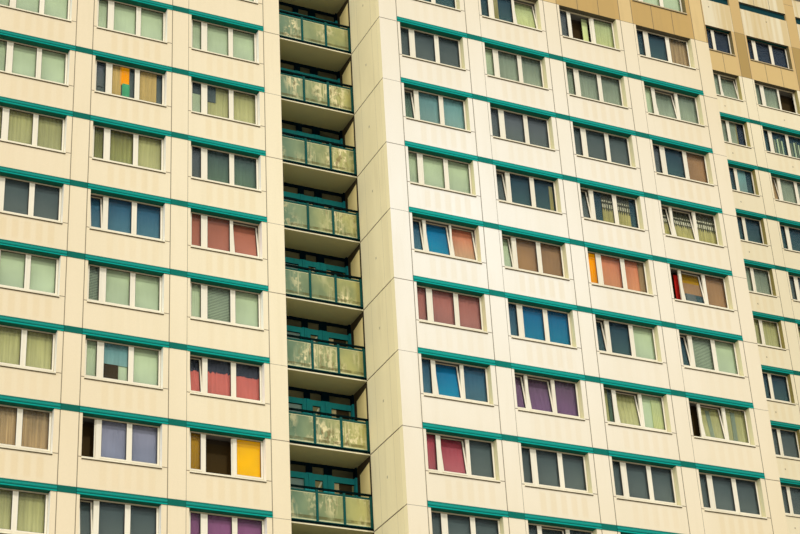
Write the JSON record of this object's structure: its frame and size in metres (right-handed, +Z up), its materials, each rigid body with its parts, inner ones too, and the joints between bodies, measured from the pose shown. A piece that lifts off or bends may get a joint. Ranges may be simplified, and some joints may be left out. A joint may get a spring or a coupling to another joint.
{
  "type": "apartment block, scale model at 1:2",
  "caption": "Tall slab-panel apartment block in two stepped halves, with rows of recessed three-light windows, coloured lintel bands and a stack of railed loggias.",
  "frame": {"origin": "middle of the bounding box at ground level, under the lower half's floor", "axes": "+Z up, the main front faces -Y, the taller half stands towards +X"},
  "size_m": [26.025, 14.64, 30.575],
  "materials": {
    "wall_cream": "painted concrete, matt",
    "wall_ochre": "painted concrete, matt",
    "band_green": "painted concrete, satin",
    "slot_teal": "painted concrete, matt",
    "coping": "dark concrete",
    "floor_concrete": "bare concrete",
    "window_glass": "clear",
    "loggia_slab": "painted concrete edge",
    "steel_teal": "gloss paint",
    "railing_pane": "wired and stained",
    "door_teal": "gloss paint"
  },
  "bodies": {
    "root": {"attic_inner_walls": "slot_teal", "attic_panels": "wall_cream", "attic_piers": "wall_ochre", "centre_end_walls": "wall_cream", "centre_floors": "floor_concrete", "centre_lintel_bands": "band_green", "centre_piers": "wall_cream", "centre_spandrels": "wall_cream", "centre_windows": "window_glass", "core_floors": "floor_concrete", "core_lintel_bands": "band_green", "core_piers": "wall_cream", "core_spandrels": "wall_cream", "core_windows": "window_glass", "crown_end_walls": "wall_ochre", "crown_piers": "wall_ochre", "crown_spandrels": "wall_ochre", "end_copings": "coping", "entrance_door": "door_teal", "entrance_lintel": "wall_cream", "entrance_side_walls": "wall_cream", "left_wing_end_walls": "wall_cream", "left_wing_floors": "floor_concrete", "left_wing_lintel_bands": "band_green", "left_wing_piers": "wall_cream", "left_wing_spandrels": "wall_cream", "left_wing_windows": "window_glass", "loggia_attic_wall": "wall_cream", "loggia_infills": "railing_pane", "loggia_railings": "steel_teal", "loggia_screen_glass": "window_glass", "loggia_screens": "steel_teal", "loggia_slabs": "loggia_slab", "parapet_panels": "wall_cream", "tall_block_end_walls": "wall_cream", "tall_block_floors": "floor_concrete", "tall_block_lintel_bands": "band_green", "tall_block_piers": "wall_cream", "tall_block_spandrels": "wall_cream", "tall_block_windows": "window_glass", "wall_copings": "coping"}
  },
  "joints": []
}
